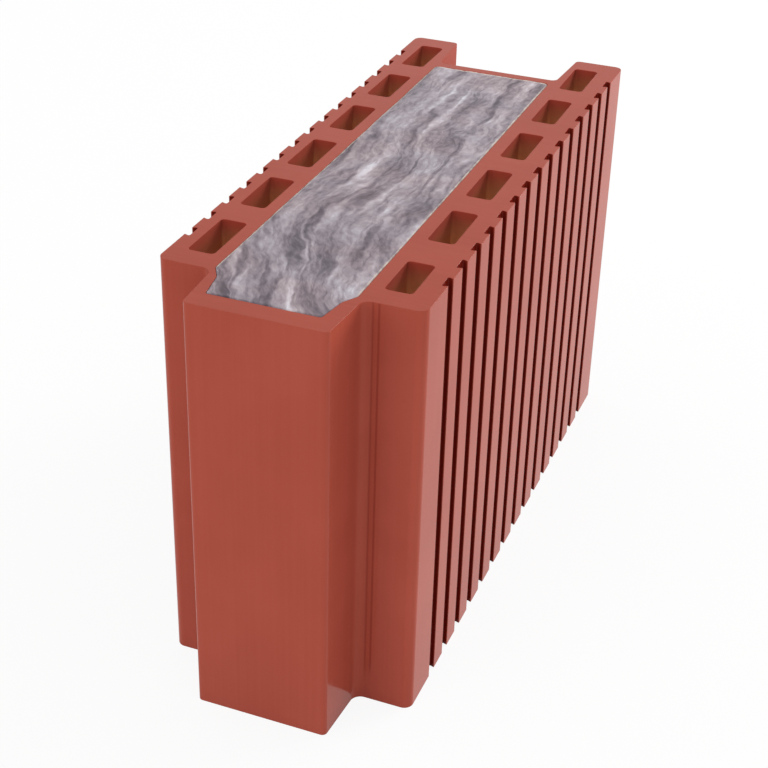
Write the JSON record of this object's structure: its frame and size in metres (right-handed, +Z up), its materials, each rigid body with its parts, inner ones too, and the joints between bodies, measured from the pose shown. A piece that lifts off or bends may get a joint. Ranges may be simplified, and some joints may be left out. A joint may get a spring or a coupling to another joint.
{
  "type": "sound insulation block",
  "caption": "Extruded clay block with a mineral wool core, upright holes, dovetail plaster keys, and a tongue and recess at its ends, for sound insulating walls.",
  "frame": {"origin": "centre of the whole block's bounding box, on the lower bed face", "axes": "+Z up through the holes, +Y along the wall from the tongue towards the recess, +X across the wall"},
  "size_m": [0.145, 0.4124, 0.249],
  "materials": {
    "fired_clay": "unglazed, matte",
    "mineral_wool": "fibrous, matte"
  },
  "bodies": {
    "root": {"clay_block": "fired_clay", "mineral_wool_infill": "mineral_wool"}
  },
  "joints": []
}
